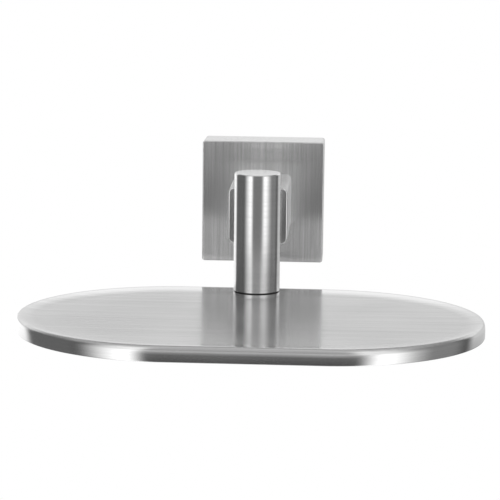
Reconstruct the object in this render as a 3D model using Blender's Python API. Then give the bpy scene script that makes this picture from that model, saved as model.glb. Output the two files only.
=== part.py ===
"""Wall-mounted soap holder in brushed stainless steel.

A square rosette covers a bracket on the wall. A squared arm stands out from the rosette and
clamps a round post, and the post carries a shallow oval dish with a rolled rim.

Frame: the origin is the middle of the bracket's back, on the wall. +X is to the right along
the dish, +Y points into the wall and +Z is up. The object stands out towards -Y.
"""
import math

import bmesh
import bpy
from mathutils import Matrix, Vector

MM = 0.001

# Clearances
SEAT_GAP = 0.3 * MM          # between two pieces that rest on each other
BORE_CLEARANCE = 0.3 * MM    # radial, around a screw or a pin

# Square cover against the wall
ROSETTE_SIDE = 44.0 * MM
ROSETTE_DEPTH = 16.0 * MM
ROSETTE_WALL = 4.0 * MM      # thick enough for the thread of the set screw
ROSETTE_FACE = 3.5 * MM      # front thickness
ROSETTE_CORNER = 1.0 * MM
ROSETTE_EDGE = 0.6 * MM
INNER_CORNER = 1.5 * MM

# Bracket that is screwed to the wall, inside the rosette
BRACKET_PLATE = 2.5 * MM
BRACKET_FLANGE = 2.5 * MM
BRACKET_DEPTH = 9.5 * MM
SLOT_WIDTH = 5.4 * MM
SLOT_LENGTH = 10.0 * MM
SLOT_SPACING = 22.0 * MM

# Arm between the rosette and the post
ARM_WIDTH = 20.6 * MM
ARM_HEIGHT = 19.6 * MM
ARM_LENGTH = 36.0 * MM
ARM_RISE = 0.6 * MM          # height of its axis above the middle of the rosette
ARM_ROUND = 2.0 * MM
ARM_END_ROUND = 1.2 * MM

# Round post
POST_DIAMETER = 16.0 * MM
POST_LENGTH = 40.7 * MM
POST_TOP = 16.0 * MM
POST_FORWARD = 2.9 * MM      # its axis stands this far in front of the arm's end
POST_CHAMFER = 0.25 * MM

# Long bolt from inside the rosette, through the arm, into the post
BOLT_DIAMETER = 5.0 * MM
BOLT_HEAD_DIAMETER = 8.5 * MM
BOLT_HEAD_HEIGHT = 3.4 * MM
BOLT_KEY = 3.0 * MM
BOLT_KEY_DEPTH = 1.8 * MM
BOLT_BITE = 9.0 * MM         # length held inside the post
HOLE_RESERVE = 1.0 * MM      # a blind hole is this much deeper than what it holds
WASHER_DIAMETER = 10.0 * MM
WASHER_THICKNESS = 1.0 * MM
SPRING_WASHER_DIAMETER = 8.6 * MM
SPRING_WASHER_THICKNESS = 1.2 * MM
SPRING_WASHER_SLIT = 0.8 * MM

# Pins that keep the arm from turning on the rosette
DOWEL_DIAMETER = 3.0 * MM
DOWEL_EDGE = 3.2 * MM        # from the arm's side to a dowel's axis
DOWEL_BITE = 5.0 * MM        # length inside the arm

# Set screw in the rosette's lower wall
SET_SCREW_DIAMETER = 5.0 * MM
SET_SCREW_TIP_DIAMETER = 3.0 * MM
SET_SCREW_TIP = 2.2 * MM
SET_SCREW_RECESS = 0.3 * MM
SET_SCREW_KEY = 2.5 * MM
SET_SCREW_KEY_DEPTH = 2.0 * MM
SET_SCREW_REACH = 6.6 * MM   # its axis stands this far from the wall

# Dish, pressed from sheet
DISH_LENGTH = 152.2 * MM
DISH_WIDTH = 95.0 * MM
DISH_END = 52.0 * MM         # length of each curved end, which is half an ellipse
DISH_BACK = 6.9 * MM         # from the post's axis to the dish's back edge
DISH_BELOW_FOOT = 0.6 * MM   # from the post's foot down to the rim's top
DISH_HEIGHT = 5.0 * MM
DISH_ROLL_DOWN = 3.4 * MM
CREST_INSET = 1.6 * MM       # from the outer edge to the rim's crest
CREST_INSET_FRONT = 2.8 * MM
RIM_WIDTH_BACK = 11.0 * MM   # from the outer edge to the flat floor, widest at the back
RIM_WIDTH_END = 7.0 * MM
RIM_WIDTH_FRONT = 9.0 * MM
FLOOR_END = 48.0 * MM        # length of each curved end of the floor
DISH_DROP = 0.7 * MM         # from the rim's top down to the floor
DISH_SHEET = 1.0 * MM

# Boss of the dish, gasket, screw and pin under the post
BOSS_MARGIN = 0.15 * MM      # outside the post's outline, at its base
BOSS_DRAFT = 0.1 * MM        # its radius is this much smaller at the top
BOSS_BELOW = 0.2 * MM        # below the sheet
GASKET_INSET = 0.5 * MM      # inside the post's outline
GASKET_THICKNESS = 0.4 * MM
GASKET_SEAT = 0.1 * MM       # rubber lies closer than metal
DISH_SCREW_DIAMETER = 5.0 * MM
DISH_SCREW_HEAD_DIAMETER = 9.0 * MM
DISH_SCREW_HEAD_HEIGHT = 1.5 * MM
DISH_SCREW_KEY = 3.0 * MM
DISH_SCREW_KEY_DEPTH = 1.0 * MM
DISH_SCREW_BITE = 10.0 * MM
DISH_WASHER_DIAMETER = 11.0 * MM
DISH_WASHER_THICKNESS = 0.8 * MM
FOOT_PIN_DIAMETER = 2.0 * MM
FOOT_PIN_EDGE = 2.8 * MM     # from the post's side to the pin's axis
FOOT_PIN_BITE = 4.0 * MM     # length inside the post

# Faceting
ROUND_SEGMENTS = 48
SMALL_SEGMENTS = 24
CORNER_SEGMENTS = 4
DISH_END_SEGMENTS = 18
ROLL_SEGMENTS = 6
SLOPE_SEGMENTS = 6

# Places that follow from the sizes
ROSETTE_FRONT_Y = -ROSETTE_DEPTH
ROSETTE_INNER_Y = ROSETTE_FRONT_Y + ROSETTE_FACE
ROSETTE_INNER_SIDE = ROSETTE_SIDE - 2 * ROSETTE_WALL
BRACKET_SIDE = ROSETTE_INNER_SIDE - 2 * SEAT_GAP
ARM_BACK_Y = ROSETTE_FRONT_Y - SEAT_GAP
ARM_FRONT_Y = ROSETTE_FRONT_Y - ARM_LENGTH
POST_Y = ARM_FRONT_Y - POST_FORWARD
POST_BACK_Y = POST_Y + POST_DIAMETER / 2
POST_FOOT = POST_TOP - POST_LENGTH
DOWEL_SPREAD = ARM_WIDTH - 2 * DOWEL_EDGE
FOOT_PIN_OFFSET = POST_DIAMETER / 2 - FOOT_PIN_EDGE
BOSS_RADIUS = POST_DIAMETER / 2 + BOSS_MARGIN
GASKET_RADIUS = POST_DIAMETER / 2 - GASKET_INSET
DISH_RIM_TOP = POST_FOOT - DISH_BELOW_FOOT
SHEET_TOP_Z = DISH_RIM_TOP - DISH_DROP
SHEET_UNDER_Z = SHEET_TOP_Z - DISH_SHEET
BOSS_TOP_Z = POST_FOOT - GASKET_THICKNESS - 2 * GASKET_SEAT
BOSS_UNDER_Z = SHEET_UNDER_Z - BOSS_BELOW
DISH_CENTRE_Y = POST_Y + DISH_BACK - DISH_WIDTH / 2


def clear_scene() -> None:
    """Remove every object that the scene holds."""
    for item in list(bpy.data.objects):
        bpy.data.objects.remove(item, do_unlink=True)


def make_material(name: str, colour: tuple, roughness: float, metallic: float):
    """Return a Principled material with one colour, roughness and metallic value."""
    material = bpy.data.materials.new(name)
    material.use_nodes = True
    shader = material.node_tree.nodes["Principled BSDF"]
    shader.inputs["Base Color"].default_value = (*colour, 1.0)
    shader.inputs["Roughness"].default_value = roughness
    shader.inputs["Metallic"].default_value = metallic
    return material


def add_object(name: str, bm, material=None, location=(0, 0, 0)):
    """Turn a bmesh into an object of the scene, smooth on its round stretches."""
    bmesh.ops.recalc_face_normals(bm, faces=bm.faces)
    mesh = bpy.data.meshes.new(name)
    bm.to_mesh(mesh)
    bm.free()
    item = bpy.data.objects.new(name, mesh)
    item.location = location
    bpy.context.scene.collection.objects.link(item)
    mesh.shade_smooth()
    mesh.set_sharp_from_angle(angle=math.radians(35))
    if material:
        mesh.materials.append(material)
    return item


def as_cutter(item):
    """Hide a shape that only cuts or joins another one."""
    item.hide_render = True
    item.display_type = "WIRE"
    return item


def boolean(target, tool, operation: str) -> None:
    """Add a Boolean modifier that cuts a tool from a target, or joins the two."""
    modifier = target.modifiers.new(f"{operation.lower()}_{tool.name}", "BOOLEAN")
    modifier.operation = operation
    modifier.object = as_cutter(tool)


def loft(rings: list) -> bmesh.types.BMesh:
    """Skin a list of equal rings of points and cap both ends."""
    bm = bmesh.new()
    loops = [[bm.verts.new(point) for point in ring] for ring in rings]
    for lower, upper in zip(loops, loops[1:]):
        for index in range(len(lower)):
            after = (index + 1) % len(lower)
            bm.faces.new((lower[index], lower[after], upper[after], upper[index]))
    bm.faces.new(list(reversed(loops[0])))
    bm.faces.new(loops[-1])
    return bm


def circle(radius: float, height: float, segments: int) -> list:
    """Return a ring of points about Z at one height."""
    step = 2 * math.pi / segments
    return [Vector((radius * math.cos(step * i), radius * math.sin(step * i), height))
            for i in range(segments)]


def turned(profile: list, segments: int) -> bmesh.types.BMesh:
    """Turn a profile of (radius, height) points about Z into a solid with flat ends."""
    return loft([circle(radius, height, segments) for radius, height in profile])


def turned_ring(inner: float, outer: float, low: float, high: float, segments: int):
    """Return a flat ring about Z as a closed solid."""
    bm = bmesh.new()
    corners = ((inner, low), (outer, low), (outer, high), (inner, high))
    loops = [[bm.verts.new(point) for point in circle(r, z, segments)] for r, z in corners]
    for side in range(len(loops)):
        lower, upper = loops[side], loops[(side + 1) % len(loops)]
        for index in range(segments):
            after = (index + 1) % segments
            bm.faces.new((lower[index], lower[after], upper[after], upper[index]))
    return bm


def rounded_rectangle(width: float, height: float, radius: float) -> list:
    """Return the (across, up) points of a rectangle with round corners."""
    points = []
    for quarter, (sx, sz) in enumerate(((1, 1), (-1, 1), (-1, -1), (1, -1))):
        centre = Vector((sx * (width / 2 - radius), sz * (height / 2 - radius)))
        for step in range(CORNER_SEGMENTS + 1):
            angle = math.pi / 2 * (quarter + step / CORNER_SEGMENTS)
            points.append(centre + radius * Vector((math.cos(angle), math.sin(angle))))
    return points


def square_ring(width: float, height: float, radius: float, y: float, rise: float = 0.0) -> list:
    """Return a rounded rectangle that faces along Y, as points in space."""
    return [Vector((p.x, y, p.y + rise)) for p in rounded_rectangle(width, height, radius)]


def along_y(bm, centre: Vector):
    """Lay a shape that was turned about Z along -Y, with its base at a point."""
    bmesh.ops.transform(bm, matrix=Matrix.Translation(centre) @ Matrix.Rotation(math.pi / 2, 4, "X"),
                        verts=bm.verts)
    return bm


def prism(points: list, low: float, high: float) -> bmesh.types.BMesh:
    """Raise an outline of (x, y) points from one height to another."""
    return loft([[Vector((p[0], p[1], z)) for p in points] for z in (low, high)])


def hexagon(across_flats: float) -> list:
    """Return the six corners of a key socket."""
    radius = across_flats / math.sqrt(3)
    return [(radius * math.cos(math.pi / 3 * i), radius * math.sin(math.pi / 3 * i)) for i in range(6)]


def slot_outline(width: float, length: float) -> list:
    """Return the outline of an upright slot with round ends."""
    reach = (length - width) / 2
    points = []
    for end in (1, -1):
        for step in range(SMALL_SEGMENTS // 2 + 1):
            angle = math.pi * step / (SMALL_SEGMENTS // 2) + (0 if end > 0 else math.pi)
            points.append((width / 2 * math.cos(angle), width / 2 * math.sin(angle) + end * reach))
    return points


def build_bracket(steel):
    """Build the channel-shaped bracket with two slots for the wall screws."""
    half = BRACKET_SIDE / 2
    block = loft([square_ring(BRACKET_SIDE, BRACKET_SIDE, INNER_CORNER, y) for y in (0.0, -BRACKET_DEPTH)])
    bracket = add_object("wall_bracket", block, steel)
    reach = half - BRACKET_FLANGE
    channel = [(-BRACKET_PLATE, -reach), (-BRACKET_PLATE, reach), (-2 * BRACKET_DEPTH, reach),
               (-2 * BRACKET_DEPTH, -reach)]
    trough = loft([[Vector((x, y, z)) for y, z in channel] for x in (-BRACKET_SIDE, BRACKET_SIDE)])
    boolean(bracket, add_object("channel_cutter", trough), "DIFFERENCE")
    for side in (-1, 1):
        slot = along_y(prism(slot_outline(SLOT_WIDTH, SLOT_LENGTH), -BRACKET_PLATE, 2 * BRACKET_PLATE),
                       Vector((side * SLOT_SPACING / 2, 0, 0)))
        boolean(bracket, add_object(f"slot_cutter_{side}", slot), "DIFFERENCE")
    radius = SET_SCREW_TIP_DIAMETER / 2 + BORE_CLEARANCE
    tip_hole = turned([(radius, -BRACKET_FLANGE), (radius, 2 * BRACKET_FLANGE)], SMALL_SEGMENTS)
    boolean(bracket, add_object("tip_hole_cutter", tip_hole, location=(0, -SET_SCREW_REACH, -half)),
            "DIFFERENCE")
    return bracket


def build_rosette(steel):
    """Build the square cover, hollow towards the wall, with its holes."""
    side, corner, edge = ROSETTE_SIDE, ROSETTE_CORNER, ROSETTE_EDGE
    rings = [square_ring(side, side, corner, 0.0), square_ring(side, side, corner, ROSETTE_FRONT_Y + edge)]
    for step in range(1, CORNER_SEGMENTS + 1):
        angle = math.pi / 2 * step / CORNER_SEGMENTS
        inset = edge * (1 - math.cos(angle))
        rings.append(square_ring(side - 2 * inset, side - 2 * inset, corner - inset,
                                 ROSETTE_FRONT_Y + edge * (1 - math.sin(angle))))
    rosette = add_object("rosette", loft(rings), steel)
    hollow = loft([square_ring(ROSETTE_INNER_SIDE, ROSETTE_INNER_SIDE, INNER_CORNER, y)
                   for y in (ROSETTE_DEPTH, ROSETTE_INNER_Y)])
    boolean(rosette, add_object("hollow_cutter", hollow), "DIFFERENCE")
    for name, diameter, x, z in front_holes():
        radius = diameter / 2 + BORE_CLEARANCE
        hole = along_y(turned([(radius, -2 * ROSETTE_FACE), (radius, 2 * ROSETTE_FACE)], SMALL_SEGMENTS),
                       Vector((x, ROSETTE_FRONT_Y, z)))
        boolean(rosette, add_object(f"rosette_{name}_cutter", hole), "DIFFERENCE")
    radius = SET_SCREW_DIAMETER / 2 + BORE_CLEARANCE
    thread = turned([(radius, -ROSETTE_WALL), (radius, 1.5 * ROSETTE_WALL)], SMALL_SEGMENTS)
    boolean(rosette, add_object("thread_cutter", thread,
                                location=(0, -SET_SCREW_REACH, -ROSETTE_SIDE / 2)), "DIFFERENCE")
    return rosette


def front_holes() -> list:
    """Return the name, diameter and place of each hole that rosette and arm share."""
    return [("bolt", BOLT_DIAMETER, 0.0, ARM_RISE),
            ("dowel_left", DOWEL_DIAMETER, -DOWEL_SPREAD / 2, ARM_RISE),
            ("dowel_right", DOWEL_DIAMETER, DOWEL_SPREAD / 2, ARM_RISE)]


def build_set_screw(dark_steel):
    """Build the set screw, whose point locks in the bracket's lower flange."""
    low = -ROSETTE_SIDE / 2 + SET_SCREW_RECESS
    shoulder = -ROSETTE_INNER_SIDE / 2
    radius, tip = SET_SCREW_DIAMETER / 2, SET_SCREW_TIP_DIAMETER / 2
    bm = turned([(radius, low), (radius, shoulder), (tip, shoulder), (tip, shoulder + SET_SCREW_TIP)],
                SMALL_SEGMENTS)
    screw = add_object("set_screw", bm, dark_steel)
    screw.location = (0, -SET_SCREW_REACH, 0)
    key = prism(hexagon(SET_SCREW_KEY), low - SET_SCREW_KEY_DEPTH, low + SET_SCREW_KEY_DEPTH)
    boolean(screw, add_object("set_screw_key_cutter", key, location=screw.location), "DIFFERENCE")
    return screw


def build_arm(steel):
    """Build the squared arm, with a bore along it and a hollow end that seats the post."""
    width, height, corner, edge = ARM_WIDTH, ARM_HEIGHT, ARM_ROUND, ARM_END_ROUND
    rings = [square_ring(width, height, corner, ARM_BACK_Y, ARM_RISE),
             square_ring(width, height, corner, ARM_FRONT_Y + edge, ARM_RISE)]
    for step in range(1, CORNER_SEGMENTS + 1):
        angle = math.pi / 2 * step / CORNER_SEGMENTS
        inset = edge * (1 - math.cos(angle))
        rings.append(square_ring(width - 2 * inset, height - 2 * inset, corner - inset,
                                 ARM_FRONT_Y + edge * (1 - math.sin(angle)), ARM_RISE))
    arm = add_object("arm", loft(rings), steel)
    radius = POST_DIAMETER / 2 + SEAT_GAP
    saddle = turned([(radius, -ARM_HEIGHT), (radius, ARM_HEIGHT)], ROUND_SEGMENTS)
    boolean(arm, add_object("saddle_cutter", saddle, location=(0, POST_Y, ARM_RISE)), "DIFFERENCE")
    for name, diameter, x, z in front_holes():
        radius = diameter / 2 + BORE_CLEARANCE
        depth = ARM_LENGTH * 2 if name == "bolt" else DOWEL_BITE + HOLE_RESERVE
        hole = along_y(turned([(radius, -ROSETTE_FACE), (radius, depth)], SMALL_SEGMENTS),
                       Vector((x, ARM_BACK_Y, z)))
        boolean(arm, add_object(f"arm_{name}_cutter", hole), "DIFFERENCE")
    return arm


def build_dowels(steel) -> None:
    """Build the two pins between the rosette and the arm."""
    start = ROSETTE_INNER_Y - SEAT_GAP
    length = start - ARM_BACK_Y + DOWEL_BITE
    for side, x in (("left", -DOWEL_SPREAD / 2), ("right", DOWEL_SPREAD / 2)):
        pin = turned([(DOWEL_DIAMETER / 2, 0), (DOWEL_DIAMETER / 2, length)], SMALL_SEGMENTS)
        add_object(f"dowel_{side}", along_y(pin, Vector((0, 0, 0))), steel, (x, start, ARM_RISE))


def build_tie_bolt(dark_steel, steel) -> None:
    """Build the long bolt and the plain and spring washers under its head."""
    washer_y = ROSETTE_INNER_Y + SEAT_GAP
    spring_y = washer_y + WASHER_THICKNESS + SEAT_GAP
    head_y = spring_y + SPRING_WASHER_THICKNESS + SEAT_GAP
    bore = BOLT_DIAMETER / 2 + BORE_CLEARANCE

    plain = turned_ring(bore, WASHER_DIAMETER / 2, -WASHER_THICKNESS, 0, SMALL_SEGMENTS)
    add_object("plain_washer", along_y(plain, Vector((0, 0, 0))), steel, (0, washer_y, ARM_RISE))

    ring = turned_ring(bore, SPRING_WASHER_DIAMETER / 2, -SPRING_WASHER_THICKNESS, 0, SMALL_SEGMENTS)
    spring = add_object("spring_washer", along_y(ring, Vector((0, 0, 0))), dark_steel,
                        (0, spring_y, ARM_RISE))
    half, reach = SPRING_WASHER_SLIT / 2, SPRING_WASHER_DIAMETER
    slit = prism([(-half, 0), (half, 0), (half, reach), (-half, reach)],
                 -2 * SPRING_WASHER_THICKNESS, SPRING_WASHER_THICKNESS)
    boolean(spring, add_object("slit_cutter", along_y(slit, Vector((0, 0, 0))),
                               location=spring.location), "DIFFERENCE")

    tip = head_y - (POST_BACK_Y - BOLT_BITE)
    bm = turned([(BOLT_HEAD_DIAMETER / 2, -BOLT_HEAD_HEIGHT), (BOLT_HEAD_DIAMETER / 2, 0),
                 (BOLT_DIAMETER / 2, 0), (BOLT_DIAMETER / 2, tip)], SMALL_SEGMENTS)
    bolt = add_object("tie_bolt", along_y(bm, Vector((0, 0, 0))), dark_steel, (0, head_y, ARM_RISE))
    key = prism(hexagon(BOLT_KEY), -BOLT_HEAD_HEIGHT - BOLT_KEY_DEPTH, BOLT_KEY_DEPTH - BOLT_HEAD_HEIGHT)
    boolean(bolt, add_object("bolt_key_cutter", along_y(key, Vector((0, 0, 0))),
                             location=bolt.location), "DIFFERENCE")


def build_post(steel):
    """Build the solid post with its two blind threaded holes and a pin hole."""
    radius, chamfer = POST_DIAMETER / 2, POST_CHAMFER
    bm = turned([(radius - chamfer, POST_FOOT), (radius, POST_FOOT + chamfer),
                 (radius, POST_TOP - chamfer), (radius - chamfer, POST_TOP)], ROUND_SEGMENTS)
    post = add_object("post", bm, steel, (0, POST_Y, 0))

    bore = BOLT_DIAMETER / 2 + BORE_CLEARANCE
    side_hole = turned([(bore, -POST_DIAMETER), (bore, BOLT_BITE + HOLE_RESERVE)], SMALL_SEGMENTS)
    boolean(post, add_object("side_hole_cutter", along_y(side_hole, Vector((0, POST_BACK_Y, ARM_RISE)))),
            "DIFFERENCE")
    bore = DISH_SCREW_DIAMETER / 2 + BORE_CLEARANCE
    foot_hole = turned([(bore, -DISH_SCREW_BITE), (bore, DISH_SCREW_BITE + HOLE_RESERVE)], SMALL_SEGMENTS)
    boolean(post, add_object("foot_hole_cutter", foot_hole, location=(0, POST_Y, POST_FOOT)), "DIFFERENCE")
    bore = FOOT_PIN_DIAMETER / 2 + BORE_CLEARANCE
    pin_hole = turned([(bore, -FOOT_PIN_BITE), (bore, FOOT_PIN_BITE + HOLE_RESERVE)], SMALL_SEGMENTS)
    boolean(post, add_object("post_pin_cutter", pin_hole,
                             location=(0, POST_Y - FOOT_PIN_OFFSET, POST_FOOT)), "DIFFERENCE")
    return post


def rim_oval(back: float, end: float, front: float, curve: float) -> tuple:
    """Return the half length, half width, end length and shift of an oval inside the dish's outer edge.

    Back, end and front are its distances from that edge, and curve is the length of its curved ends.
    """
    return (DISH_LENGTH / 2 - end, (DISH_WIDTH - back - front) / 2, curve, (front - back) / 2)


def even_oval(inset: float) -> tuple:
    """Return the oval that lies at an even distance inside the dish's outer edge."""
    return rim_oval(inset, inset, inset, DISH_END - inset)


def between(first: tuple, second: tuple, share: float) -> tuple:
    """Return the oval that lies a share of the way from one to another."""
    return tuple(a + share * (b - a) for a, b in zip(first, second))


def dish_ring(oval: tuple, z: float) -> list:
    """Return an oval's points at a height."""
    half_length, half_width, end, shift = oval
    quarter = []
    for step in range(DISH_END_SEGMENTS + 1):
        angle = math.pi / 2 * step / DISH_END_SEGMENTS
        quarter.append((half_length - end + end * math.cos(angle), half_width * math.sin(angle)))
    points = quarter + [(-x, y) for x, y in reversed(quarter)]
    points += [(-x, -y) for x, y in quarter[1:]] + [(x, -y) for x, y in reversed(quarter[1:])]
    return [Vector((x, y + shift, z)) for x, y in points]


def rim_profile(offset: float) -> list:
    """Return the (oval, height) steps across the rim, from its lower edge to the floor.

    The offset is 0 for the upper skin and the sheet's thickness for the lower one.
    """
    wall = even_oval(offset)
    crest = rim_oval(CREST_INSET, CREST_INSET, CREST_INSET_FRONT, DISH_END - CREST_INSET)
    floor = rim_oval(RIM_WIDTH_BACK, RIM_WIDTH_END, RIM_WIDTH_FRONT, FLOOR_END)
    steps = [(wall, DISH_RIM_TOP - DISH_HEIGHT)]
    for step in range(ROLL_SEGMENTS + 1):
        angle = math.pi / 2 * step / ROLL_SEGMENTS
        steps.append((between(wall, crest, 1 - math.cos(angle)),
                      DISH_RIM_TOP - DISH_ROLL_DOWN + (DISH_ROLL_DOWN - offset) * math.sin(angle)))
    for step in range(1, SLOPE_SEGMENTS + 1):
        share = step / SLOPE_SEGMENTS
        ease = (1 - math.cos(math.pi * share)) / 2
        steps.append((between(crest, floor, share), DISH_RIM_TOP - offset - ease * DISH_DROP))
    return steps


def build_dish(steel):
    """Build the pressed dish with its boss and the holes for the screw and the pin."""
    skins = rim_profile(DISH_SHEET)[::-1] + rim_profile(0.0)
    dish = add_object("dish", loft([dish_ring(*step) for step in skins]), steel,
                      (0, DISH_CENTRE_Y, 0))
    boss = turned([(BOSS_RADIUS, BOSS_UNDER_Z), (BOSS_RADIUS - BOSS_DRAFT, BOSS_TOP_Z)], ROUND_SEGMENTS)
    boolean(dish, add_object("boss_tool", boss, location=(0, POST_Y, 0)), "UNION")
    for name, diameter, forward in (("screw", DISH_SCREW_DIAMETER, 0.0),
                                    ("pin", FOOT_PIN_DIAMETER, FOOT_PIN_OFFSET)):
        radius = diameter / 2 + BORE_CLEARANCE
        hole = turned([(radius, BOSS_UNDER_Z - DISH_HEIGHT), (radius, BOSS_TOP_Z + DISH_HEIGHT)],
                      SMALL_SEGMENTS)
        boolean(dish, add_object(f"dish_{name}_cutter", hole, location=(0, POST_Y - forward, 0)),
                "DIFFERENCE")
    return dish


def build_foot_gasket(rubber):
    """Build the thin gasket between the post's foot and the boss of the dish."""
    high = POST_FOOT - GASKET_SEAT
    low = high - GASKET_THICKNESS
    bore = DISH_SCREW_DIAMETER / 2 + BORE_CLEARANCE
    ring = turned_ring(bore, GASKET_RADIUS, low, high, ROUND_SEGMENTS)
    gasket = add_object("foot_gasket", ring, rubber, (0, POST_Y, 0))
    radius = FOOT_PIN_DIAMETER / 2 + BORE_CLEARANCE
    hole = turned([(radius, low - DISH_HEIGHT), (radius, high + DISH_HEIGHT)], SMALL_SEGMENTS)
    boolean(gasket, add_object("gasket_pin_cutter", hole, location=(0, POST_Y - FOOT_PIN_OFFSET, 0)),
            "DIFFERENCE")
    return gasket


def build_dish_fixings(dark_steel, steel) -> None:
    """Build the screw and washer under the dish, and the pin that stops it from turning."""
    washer_high = BOSS_UNDER_Z - SEAT_GAP
    bore = DISH_SCREW_DIAMETER / 2 + BORE_CLEARANCE
    ring = turned_ring(bore, DISH_WASHER_DIAMETER / 2, washer_high - DISH_WASHER_THICKNESS, washer_high,
                       SMALL_SEGMENTS)
    add_object("dish_washer", ring, steel, (0, POST_Y, 0))

    head_high = washer_high - DISH_WASHER_THICKNESS - SEAT_GAP
    head_low = head_high - DISH_SCREW_HEAD_HEIGHT
    bm = turned([(DISH_SCREW_HEAD_DIAMETER / 2, head_low), (DISH_SCREW_HEAD_DIAMETER / 2, head_high),
                 (DISH_SCREW_DIAMETER / 2, head_high), (DISH_SCREW_DIAMETER / 2, POST_FOOT + DISH_SCREW_BITE)],
                SMALL_SEGMENTS)
    screw = add_object("dish_screw", bm, dark_steel, (0, POST_Y, 0))
    key = prism(hexagon(DISH_SCREW_KEY), head_low - DISH_SCREW_KEY_DEPTH, head_low + DISH_SCREW_KEY_DEPTH)
    boolean(screw, add_object("dish_screw_key_cutter", key, location=screw.location), "DIFFERENCE")

    pin = turned([(FOOT_PIN_DIAMETER / 2, BOSS_UNDER_Z), (FOOT_PIN_DIAMETER / 2, POST_FOOT + FOOT_PIN_BITE)],
                 SMALL_SEGMENTS)
    add_object("foot_pin", pin, dark_steel, (0, POST_Y - FOOT_PIN_OFFSET, 0))


def main() -> None:
    """Build every piece of the soap holder."""
    clear_scene()
    brushed = make_material("brushed_steel", (0.62, 0.62, 0.61), 0.28, 1.0)
    bracket_steel = make_material("bracket_steel", (0.55, 0.55, 0.55), 0.45, 1.0)
    hardware = make_material("hardware_steel", (0.48, 0.48, 0.48), 0.35, 1.0)
    rubber = make_material("gasket_rubber", (0.03, 0.03, 0.03), 0.7, 0.0)
    build_bracket(bracket_steel)
    build_rosette(brushed)
    build_set_screw(hardware)
    build_arm(brushed)
    build_dowels(hardware)
    build_tie_bolt(hardware, bracket_steel)
    build_post(brushed)
    build_foot_gasket(rubber)
    build_dish(brushed)
    build_dish_fixings(hardware, bracket_steel)


main()
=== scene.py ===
"""Wall-mounted soap holder in brushed stainless steel: its fine surfaces, finishes and studio.

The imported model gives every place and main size. Each class below builds one sub-assembly with
the small fillets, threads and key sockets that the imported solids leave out, and dresses it.
Lengths are metres. +X runs along the dish, -Y stands out from the wall and +Z is up.
"""
import logging
import math
from collections.abc import Callable, Sequence
from dataclasses import astuple, dataclass
from enum import Enum

import bmesh
import bpy
from mathutils import Matrix, Vector


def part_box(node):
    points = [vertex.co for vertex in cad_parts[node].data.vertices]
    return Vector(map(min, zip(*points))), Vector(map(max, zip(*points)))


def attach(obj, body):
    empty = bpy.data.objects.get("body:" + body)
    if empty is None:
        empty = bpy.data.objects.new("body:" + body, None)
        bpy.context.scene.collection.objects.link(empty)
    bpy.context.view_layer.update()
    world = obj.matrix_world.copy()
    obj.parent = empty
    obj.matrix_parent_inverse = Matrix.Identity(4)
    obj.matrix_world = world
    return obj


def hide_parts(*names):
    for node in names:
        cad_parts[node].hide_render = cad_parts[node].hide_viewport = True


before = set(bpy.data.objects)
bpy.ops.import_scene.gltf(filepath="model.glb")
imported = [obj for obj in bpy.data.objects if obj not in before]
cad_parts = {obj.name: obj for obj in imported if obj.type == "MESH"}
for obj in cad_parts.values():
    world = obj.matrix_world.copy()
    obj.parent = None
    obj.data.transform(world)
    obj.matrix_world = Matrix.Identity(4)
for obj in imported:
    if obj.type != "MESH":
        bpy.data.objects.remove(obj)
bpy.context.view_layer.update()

MM = 0.001
LOG = logging.getLogger("soap_holder")
SMOOTH_ANGLE = 32.0          # degrees, the least angle of an edge that stays sharp
THREAD_ANGLE = 28.0          # the same on a thread
BEVEL_ANGLE = 40.0           # the least angle of an edge that is broken
QUARTER_TURN = math.pi / 2

Mesh = bmesh.types.BMesh
Piece = bpy.types.Object
Node = bpy.types.Node
NodeTree = bpy.types.NodeTree
Socket = bpy.types.NodeSocket
Sockets = bpy.types.bpy_prop_collection
Value = Socket | float | tuple
Ring = list[Vector]
Profile = list[tuple[float, float]]
Band = tuple[float, float, float, float]


class Body(Enum):
    """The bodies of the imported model."""

    HOLDER = "holder"
    LOCK = "lock"


class Slot(Enum):
    """The record's material slots."""

    BRUSHED = "brushed_steel"
    BRACKET = "bracket_steel"
    HARDWARE = "hardware_steel"
    RUBBER = "gasket_rubber"


class Lay(Enum):
    """The way that grooves run.

    Each value is their direction. LEVEL grooves run round a wall or a post, and theirs is the
    upright that they lie square to.
    """

    UPRIGHT = (0.0, 0.3, 0.95)
    LENGTHWISE = (1.0, 0.05, 0.0)
    ACROSS = (1.0, 0.0, 0.3)
    LEVEL = (0.0, 0.0, 1.0)


@dataclass(frozen=True)
class Place:
    """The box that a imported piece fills."""

    low: Vector
    high: Vector

    @classmethod
    def of(cls, node: str) -> "Place":
        """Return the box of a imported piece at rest."""
        return cls(*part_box(node))

    @property
    def size(self) -> Vector:
        """Return the box's three sides."""
        return self.high - self.low

    @property
    def middle(self) -> Vector:
        """Return the middle of the box."""
        return (self.low + self.high) / 2


def circle(radius: float, height: float, segments: int) -> Ring:
    """Return a ring of points about Z, anticlockwise from +X."""
    step = 2 * math.pi / segments
    return [Vector((radius * math.cos(step * i), radius * math.sin(step * i), height))
            for i in range(segments)]


def square_ring(width: float, height: float, radius: float, y: float, rise: float = 0.0,
                steps: int = 8) -> Ring:
    """Return a rounded rectangle that faces along Y.

    Args:
        width: Its size along X.
        height: Its size along Z.
        radius: The radius of its corners.
        y: Where it stands.
        rise: The height of its middle.
        steps: How many steps each corner has.

    Returns:
        The points of the outline.
    """
    points = []
    for quarter, (sx, sz) in enumerate(((1, 1), (-1, 1), (-1, -1), (1, -1))):
        centre = Vector((sx * (width / 2 - radius), y, rise + sz * (height / 2 - radius)))
        for step in range(steps + 1):
            angle = QUARTER_TURN * (quarter + step / steps)
            points.append(centre + radius * Vector((math.cos(angle), 0, math.sin(angle))))
    return points


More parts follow.
